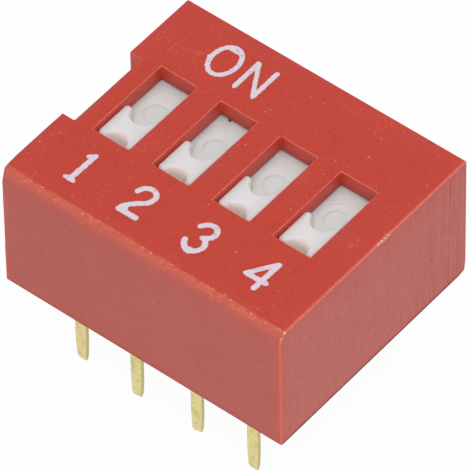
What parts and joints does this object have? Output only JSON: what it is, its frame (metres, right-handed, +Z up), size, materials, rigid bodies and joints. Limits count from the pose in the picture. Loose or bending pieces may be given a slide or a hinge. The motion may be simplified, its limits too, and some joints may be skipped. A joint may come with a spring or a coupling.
{
  "type": "dip switch",
  "caption": "Through-hole DIP switch with a row of recessed sliding actuators in a rectangular cover and two rows of flat board pins.",
  "frame": {"origin": "centre of the pin pattern on the board's surface, which the cover's rim rests on", "axes": "+Z up, away from the board; +X along the row of switches, from switch 1 to switch 4; +Y across the pin rows, towards ON"},
  "size_m": [0.0118, 0.0098, 0.0089],
  "materials": {
    "cover_red": "satin moulded",
    "base_black": "matt moulded",
    "resin_amber": "glossy cast resin",
    "slider_white": "satin moulded",
    "wiper_gold": "plated",
    "terminal_gold": "plated"
  },
  "bodies": {
    "housing": {"cover": "cover_red", "base": "base_black", "potting_seal": "resin_amber", "terminal_front_1": "terminal_gold", "terminal_front_2": "terminal_gold", "terminal_front_3": "terminal_gold", "terminal_front_4": "terminal_gold", "terminal_rear_1": "terminal_gold", "terminal_rear_2": "terminal_gold", "terminal_rear_3": "terminal_gold", "terminal_rear_4": "terminal_gold"},
    "slider_body_1": {"slider_1": "slider_white", "wiper_1": "wiper_gold"},
    "slider_body_2": {"slider_2": "slider_white", "wiper_2": "wiper_gold"},
    "slider_body_3": {"slider_3": "slider_white", "wiper_3": "wiper_gold"},
    "slider_body_4": {"slider_4": "slider_white", "wiper_4": "wiper_gold"}
  },
  "joints": [
    {"name": "slide_1", "type": "slide", "parent": "housing", "child": "slider_body_1", "axis": [0, 1, 0], "range_m": [0, 0.0017]},
    {"name": "slide_2", "type": "slide", "parent": "housing", "child": "slider_body_2", "axis": [0, 1, 0], "range_m": [0, 0.0017]},
    {"name": "slide_3", "type": "slide", "parent": "housing", "child": "slider_body_3", "axis": [0, 1, 0], "range_m": [0, 0.0017]},
    {"name": "slide_4", "type": "slide", "parent": "housing", "child": "slider_body_4", "axis": [0, 1, 0], "range_m": [0, 0.0017]}
  ]
}
